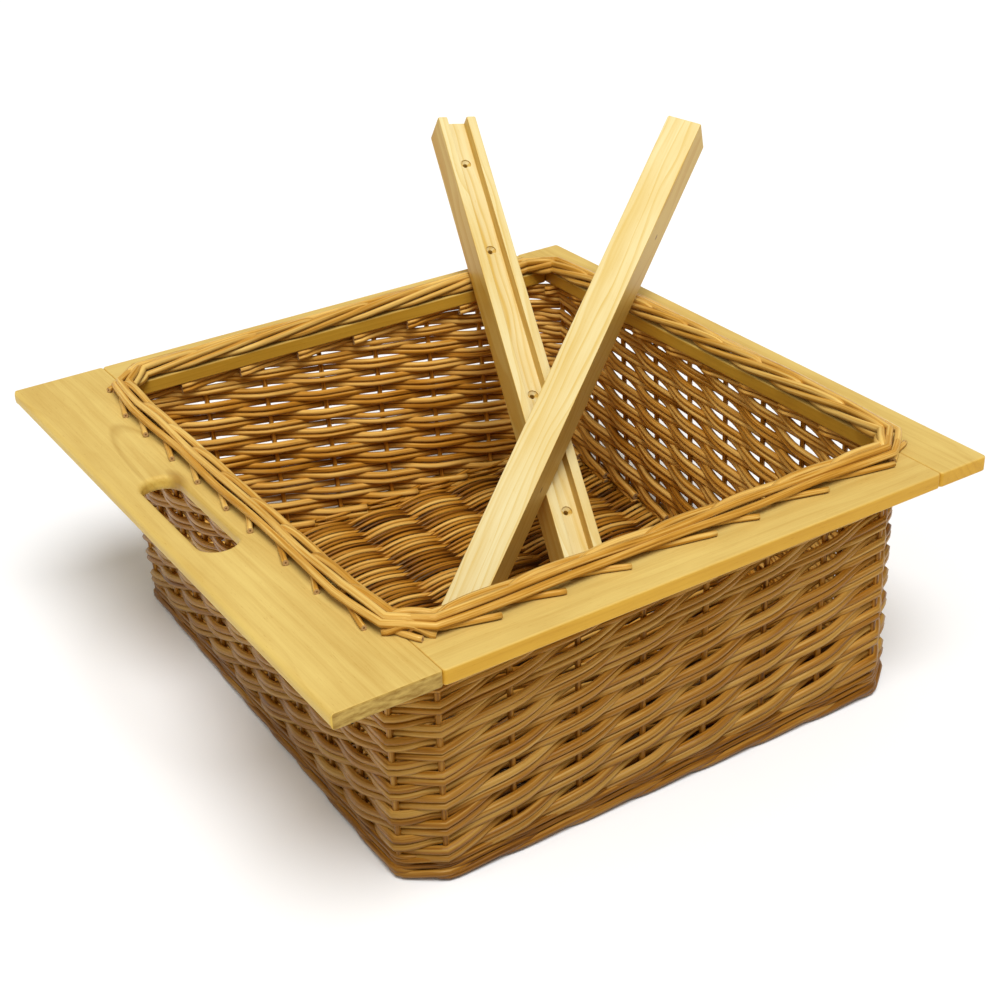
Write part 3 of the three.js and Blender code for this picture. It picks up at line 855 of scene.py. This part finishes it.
def willow_material(name, deepest_bark_and_shade, darkest, middle_tone, lightest, border_tint):
    """Bark with fine lengthwise streaks and slow patches, with painted shade on the basket's outside and on
    the undersides of rods, and darker towards the foot on the basket's outside."""
    nodes = Nodes(name, 0.34, 0.4)
    place = nodes.attribute("grain", "Vector")
    tone = nodes.attribute("tone", "Fac")
    streaks = nodes.noise(place, BARK_STREAKS, 4.0, 0.62)
    patches = nodes.noise(place, BARK_PATCHES, 2.0)
    value = nodes.math("MULTIPLY_ADD", tone, 0.42, nodes.math("MULTIPLY", streaks, 1.5))
    value = nodes.math("MULTIPLY_ADD", patches, 0.45, nodes.math("SUBTRACT", value, 0.69))
    # The first stop serves rare dark streaks and the painted shade in the floor rods' troughs
    bark = nodes.ramp(value, (0.0, deepest_bark_and_shade), (0.17, darkest), (0.5, middle_tone), (0.9, lightest))
    spot = nodes.add("ShaderNodeTexCoord")
    outward = nodes.vector("NORMALIZE", nodes.vector("MULTIPLY", spot.outputs["Object"], (1, 1, 0)))
    facing = nodes.vector("DOT_PRODUCT", outward, spot.outputs["Normal"])
    inside = nodes.math("MULTIPLY_ADD", facing, -0.5, 0.5)
    height = nodes.add("ShaderNodeSeparateXYZ", Vector=spot.outputs["Object"]).outputs["Z"]
    # Painted shade: the willow's outward-facing surfaces are darker than its inward-facing ones
    painted_outside_shade = nodes.ramp(inside, (0.2, OUTSIDE_PAINTED_SHADE), (0.75, grey(1.0)))
    below = nodes.math("LESS_THAN", height, FRAME_UNDERSIDE)
    bark = nodes.mix("MULTIPLY", 1.0, bark, nodes.mix("MIX", below, border_tint, painted_outside_shade))
    up = nodes.add("ShaderNodeSeparateXYZ", Vector=spot.outputs["Normal"]).outputs["Z"]
    turned_up = nodes.math("MULTIPLY_ADD", up, 0.5, 0.5)
    # Painted shade: rods are darker where their surface faces down
    painted_underside_shade = nodes.ramp(turned_up, (0.1, UNDERSIDE_PAINTED_SHADE), (0.5, grey(1.0)))
    bark = nodes.mix("MULTIPLY", 1.0, bark, painted_underside_shade)
    # Darker towards the foot on the outward-facing surfaces
    low = nodes.ramp(nodes.math("MULTIPLY", height, 5.0), (0.0, FOOT_DARKENING), (0.8, grey(1.0)))
    outside = nodes.math("SUBTRACT", 1.0, inside)
    nodes.colour(nodes.mix("MULTIPLY", outside, bark, low))
    nodes.bump(streaks, 0.45, 0.0005)
    return nodes.material


def plain_cut(name, colour, dark):
    """The speckled wood of a rod's cut end."""
    nodes = Nodes(name, 0.75)
    place = nodes.attribute("grain", "Vector")
    speck = nodes.noise(place, CUT_SPECKS, 2.0)
    nodes.colour(nodes.ramp(speck, (0.3, dark), (0.7, colour)))
    return nodes.material


def spot_distance(nodes, place, centre, reach):
    """Distance from a spot on a board's face, where 1 is the edge of its ellipse."""
    away = nodes.vector("SUBTRACT", place, (*centre, 0))
    scaled = nodes.vector("MULTIPLY", away, (1 / reach[0], 1 / reach[1], 0))
    return nodes.vector("LENGTH", scaled)


def pine_nodes(name, early, late, figure, lines):
    """Softwood: uneven growth rings round a pith that lies below the board and wanders, slow patches,
    fine fibres and short dark pores."""
    nodes = Nodes(name, 0.42, 0.25)
    spot = nodes.add("ShaderNodeTexCoord")
    nodes.place, nodes.normal = spot.outputs["Object"], spot.outputs["Normal"]
    random_shift = nodes.add("ShaderNodeObjectInfo").outputs["Random"]
    shift = nodes.vector("MULTIPLY", (3.1, 0.06, 0.02), random_shift)
    shifted = nodes.vector("ADD", nodes.place, shift)
    slow = nodes.noise(shifted, PINE_DRIFT)
    patches = nodes.noise(shifted, PINE_PATCHES)
    parts = nodes.add("ShaderNodeSeparateXYZ", Vector=shifted)
    drift = nodes.math("MULTIPLY", nodes.math("SUBTRACT", slow, 0.5), figure)
    depth = nodes.math("ADD", parts.outputs["Z"], nodes.math("ADD", drift, PITH_DEPTH))
    across = nodes.math("ADD", parts.outputs["Y"], nodes.math("MULTIPLY", drift, 0.6))
    from_pith = nodes.vector("LENGTH", nodes.add("ShaderNodeCombineXYZ", Y=across, Z=depth).outputs[0])
    ring = nodes.math("MULTIPLY", from_pith, PINE_RINGS_PER_METRE)
    uneven = nodes.noise(nodes.add("ShaderNodeCombineXYZ", X=ring).outputs[0], RING_NOISE, 2.0)
    turn = nodes.math("FRACT", nodes.math("MULTIPLY_ADD", uneven, 2.2, ring))
    wood_lines = nodes.ramp(turn, (0.0, grey(0.1)), (0.5, grey(0.2)), (0.86, grey(0.9)), (0.97, grey(0.1)))
    fibres = nodes.noise(shifted, PINE_FIBRES, 4.0, 0.65)
    dashes = nodes.noise(shifted, PINE_PORES, 1.0)
    pores = nodes.ramp(dashes, (0.68, grey(0)), (0.78, grey(0.4)))
    faint = nodes.math("MULTIPLY", nodes.math("MULTIPLY", slow, uneven), 4 * lines)
    share = nodes.math("MULTIPLY", wood_lines, faint)
    share = nodes.math("MULTIPLY_ADD", fibres, 0.6, share)
    share = nodes.math("MULTIPLY_ADD", patches, 0.95, nodes.math("SUBTRACT", share, 0.6))
    share = nodes.math("ADD", share, pores)
    nodes.wood = nodes.mix("MIX", share, early, late)
    nodes.bump(fibres, 0.12, 0.0002)
    return nodes


def frame_pine_nodes(name, painted_shade_tint):
    """The frame's pine, with painted shade that deepens its colour on the upright faces."""
    early, late = (0.715, 0.53, 0.168, 1), (0.46, 0.26, 0.045, 1)
    nodes = pine_nodes(name, early, late, figure=0.03, lines=0.25)
    facing = nodes.add("ShaderNodeSeparateXYZ", Vector=nodes.normal).outputs["Z"]
    # Painted shade: upright faces are multiplied by a warmer, deeper colour
    upright_share = nodes.math("SUBTRACT", 1.0, nodes.math("ABSOLUTE", facing))
    nodes.wood = nodes.mix("MULTIPLY", upright_share, nodes.wood, painted_shade_tint)
    nodes.colour(nodes.wood)
    return nodes


def front_board_pine(painted_shade_tint, arch_line, slot_brown, end_early, end_late):
    """The front board's pine, with an arch in its grain beside the slot, a brown rim at the slot's left end
    and open grain on its two ends."""
    nodes = frame_pine_nodes("front_pine", painted_shade_tint)
    along = nodes.add("ShaderNodeSeparateXYZ", Vector=nodes.place).outputs["X"]
    left = nodes.ramp(nodes.math("MULTIPLY", along, -12.0), (0.55, grey(0)), (0.85, grey(1)))
    far = nodes.math("MULTIPLY", spot_distance(nodes, nodes.place, ARCH_CENTRE, ARCH_REACH), 0.5)
    arch = nodes.ramp(far, (0.42, grey(0)), (0.49, grey(0.4)), (0.5, grey(0.4)), (0.54, grey(0)))
    wood = nodes.mix("MIX", nodes.math("MULTIPLY", arch, left), nodes.wood, arch_line)
    far = spot_distance(nodes, nodes.place, SLOT_BROWN_CENTRE, SLOT_BROWN_REACH)
    brown = nodes.ramp(far, (0.2, grey(0.65)), (1.0, grey(0)))
    wood = nodes.mix("MIX", brown, wood, slot_brown)
    end = nodes.math("GREATER_THAN", nodes.math("ABSOLUTE", along), FRONT_BOARD_HALF - END_GRAIN_DEPTH)
    mottle = nodes.noise(nodes.place, PINE_END_GRAIN, 4.0)
    end_wood = nodes.ramp(mottle, (0.35, end_late), (0.65, end_early))
    nodes.colour(nodes.mix("MIX", end, wood, end_wood))
    return nodes.material


def runner_material(early, late, painted_shade_tint, knot):
    """The runners' pine, with painted warm shade in the groove, on one side and on the back, which has two
    knots.
    """
    nodes = pine_nodes("pale_pine", early, late, figure=0.05, lines=0.65)
    spot = nodes.add("ShaderNodeSeparateXYZ", Vector=nodes.place)
    facing = nodes.add("ShaderNodeSeparateXYZ", Vector=nodes.normal)
    back = nodes.math("LESS_THAN", facing.outputs["Z"], -0.5)
    from_middle = nodes.math("ABSOLUTE", spot.outputs["Y"])
    groove = nodes.math("LESS_THAN", from_middle, GROOVE_WIDTH / 2 + GROOVE_TOLERANCE)
    upright = nodes.math("GREATER_THAN", nodes.math("ABSOLUTE", facing.outputs["Y"]), 0.5)
    painted_shade_faces = nodes.math("MAXIMUM", back, nodes.math("MULTIPLY", groove, upright))
    painted_shade_faces = nodes.math("MAXIMUM", painted_shade_faces, nodes.math("GREATER_THAN", facing.outputs["Y"], 0.5))
    # Painted shade: the groove's sides, one side and the back take a deeper, warmer colour
    wood = nodes.mix("MULTIPLY", painted_shade_faces, nodes.wood, painted_shade_tint)
    for from_top in KNOTS_FROM_TOP:
        far = spot_distance(nodes, nodes.place, (RUNNER_LENGTH - from_top, 0.0), KNOT_REACH)
        dark = nodes.ramp(far, (0.55, grey(0.9)), (1.0, grey(0)))
        wood = nodes.mix("MIX", nodes.math("MULTIPLY", dark, back), wood, knot)
    nodes.colour(wood)
    return nodes.material


def floor_material():
    nodes = Nodes("floor_white", 0.8)
    place = nodes.add("ShaderNodeTexCoord").outputs["Object"]
    soft = nodes.noise(place, FLOOR_PATCHES)
    nodes.colour(nodes.ramp(soft, (0.0, (0.9, 0.92, 0.96)), (1.0, (0.92, 0.94, 0.98))))
    return nodes.material


willow = willow_material(
    "willow_bark",
    # Darkest bark, also the colour of the painted shade in the floor rods' troughs
    deepest_bark_and_shade=(0.05, 0.015, 0.002),
    darkest=(0.2, 0.062, 0.004),
    middle_tone=(0.58, 0.25, 0.024),
    lightest=(0.9, 0.55, 0.14),
    border_tint=(0.86, 0.94, 1.05, 1),
)
willow_cut = plain_cut("willow_cut_end", (0.62, 0.42, 0.2), (0.4, 0.24, 0.1))
willow_pith = plain_cut("willow_pith", (0.25, 0.13, 0.05), (0.12, 0.06, 0.02))
# Painted shade on the upright faces of the rails and the back board
frame_pine = frame_pine_nodes("golden_pine", (0.92, 0.72, 0.25, 1)).material
front_pine = front_board_pine(
    # Weaker painted shade on the front board's upright faces
    painted_shade_tint=(1.0, 0.97, 0.68, 1),
    arch_line=(0.4, 0.23, 0.045, 1),
    slot_brown=(0.26, 0.12, 0.016, 1),
    end_early=(0.5, 0.34, 0.09),
    end_late=(0.28, 0.16, 0.03),
)
runner_pine = runner_material(
    early=(0.79, 0.69, 0.38, 1),
    late=(0.66, 0.45, 0.11, 1),
    # Painted warm shade on the runners' groove sides, one side and back
    painted_shade_tint=(0.86, 0.7, 0.36, 1),
    knot=(0.2, 0.07, 0.01, 1),
)


# The object
for side in SIDES:
    weave(side)
    stakes(side)
    plaited_border(side)
wale(0, [f"{side}_foot_rod" for side in SIDES])
wale(1, [f"{side}_wale" for side in SIDES])
wale(2)
base()
frame_board("front_board", front_radius=FRONT_EDGE_RADIUS, has_slot=True)
frame_board("back_board")
frame_board("left_rail", turned=math.pi / 2)
frame_board("right_rail", turned=math.pi / 2)
for node in ("left_runner", "right_runner"):
    runner(node)
for node, cad_object in frame["nodes"].items():
    if "_dowel_" in node:
        cad_object.data.materials.clear()
        cad_object.data.materials.append(frame_pine)


# Floor, light and camera
def studio_floor():
    signs = [(-1, -1), (1, -1), (1, 1), (-1, 1)]
    corners = [(x * FLOOR_HALF, y * FLOOR_HALF, -FLOOR_DROP) for x, y in signs]
    floor = mesh_object("studio_floor", corners, [(0, 1, 2, 3)], floor_material())


def soft_sun(name, azimuth, elevation, strength, spread):
    data = bpy.data.lights.new(name, "SUN")
    data.energy = strength
    data.angle = math.radians(spread)
    lamp = bpy.data.objects.new(name, data)
    bpy.context.collection.objects.link(lamp)
    lamp.rotation_euler = (math.radians(90 - elevation), 0, math.radians(azimuth))


def studio_light():
    world = bpy.data.worlds.new("studio")
    world.use_nodes = True
    sky = world.node_tree.nodes["Background"]
    sky.inputs["Color"].default_value = (1.0, 0.91, 0.75, 1)
    sky.inputs["Strength"].default_value = 0.36
    bpy.context.scene.world = world
    bpy.context.scene.view_settings.view_transform = "Standard"
    soft_sun("key", azimuth=76, elevation=67, strength=2.75, spread=34)
    soft_sun("fill", azimuth=5, elevation=38, strength=0.4, spread=60)


def camera():
    data = bpy.data.cameras.new("photo_view")
    data.sensor_fit = "HORIZONTAL"
    data.sensor_width = CAMERA_SENSOR
    data.lens = CAMERA_SENSOR * CAMERA_FOCAL
    data.clip_start = 0.01
    view = bpy.data.objects.new("photo_view", data)
    bpy.context.collection.objects.link(view)
    azimuth, elevation = CAMERA_AZIMUTH, CAMERA_ELEVATION
    back = Vector((
        math.sin(azimuth) * math.cos(elevation),
        -math.cos(azimuth) * math.cos(elevation),
        math.sin(elevation),
    ))
    right = Vector((math.cos(azimuth), math.sin(azimuth), 0))
    level = Matrix((right, back.cross(right), back)).transposed().to_4x4()
    eye = CAMERA_TARGET + back * CAMERA_DISTANCE
    view.matrix_world = Matrix.Translation(eye) @ level @ Matrix.Rotation(CAMERA_ROLL, 4, "Z")
    bpy.context.scene.camera = view


studio_floor()
studio_light()
camera()
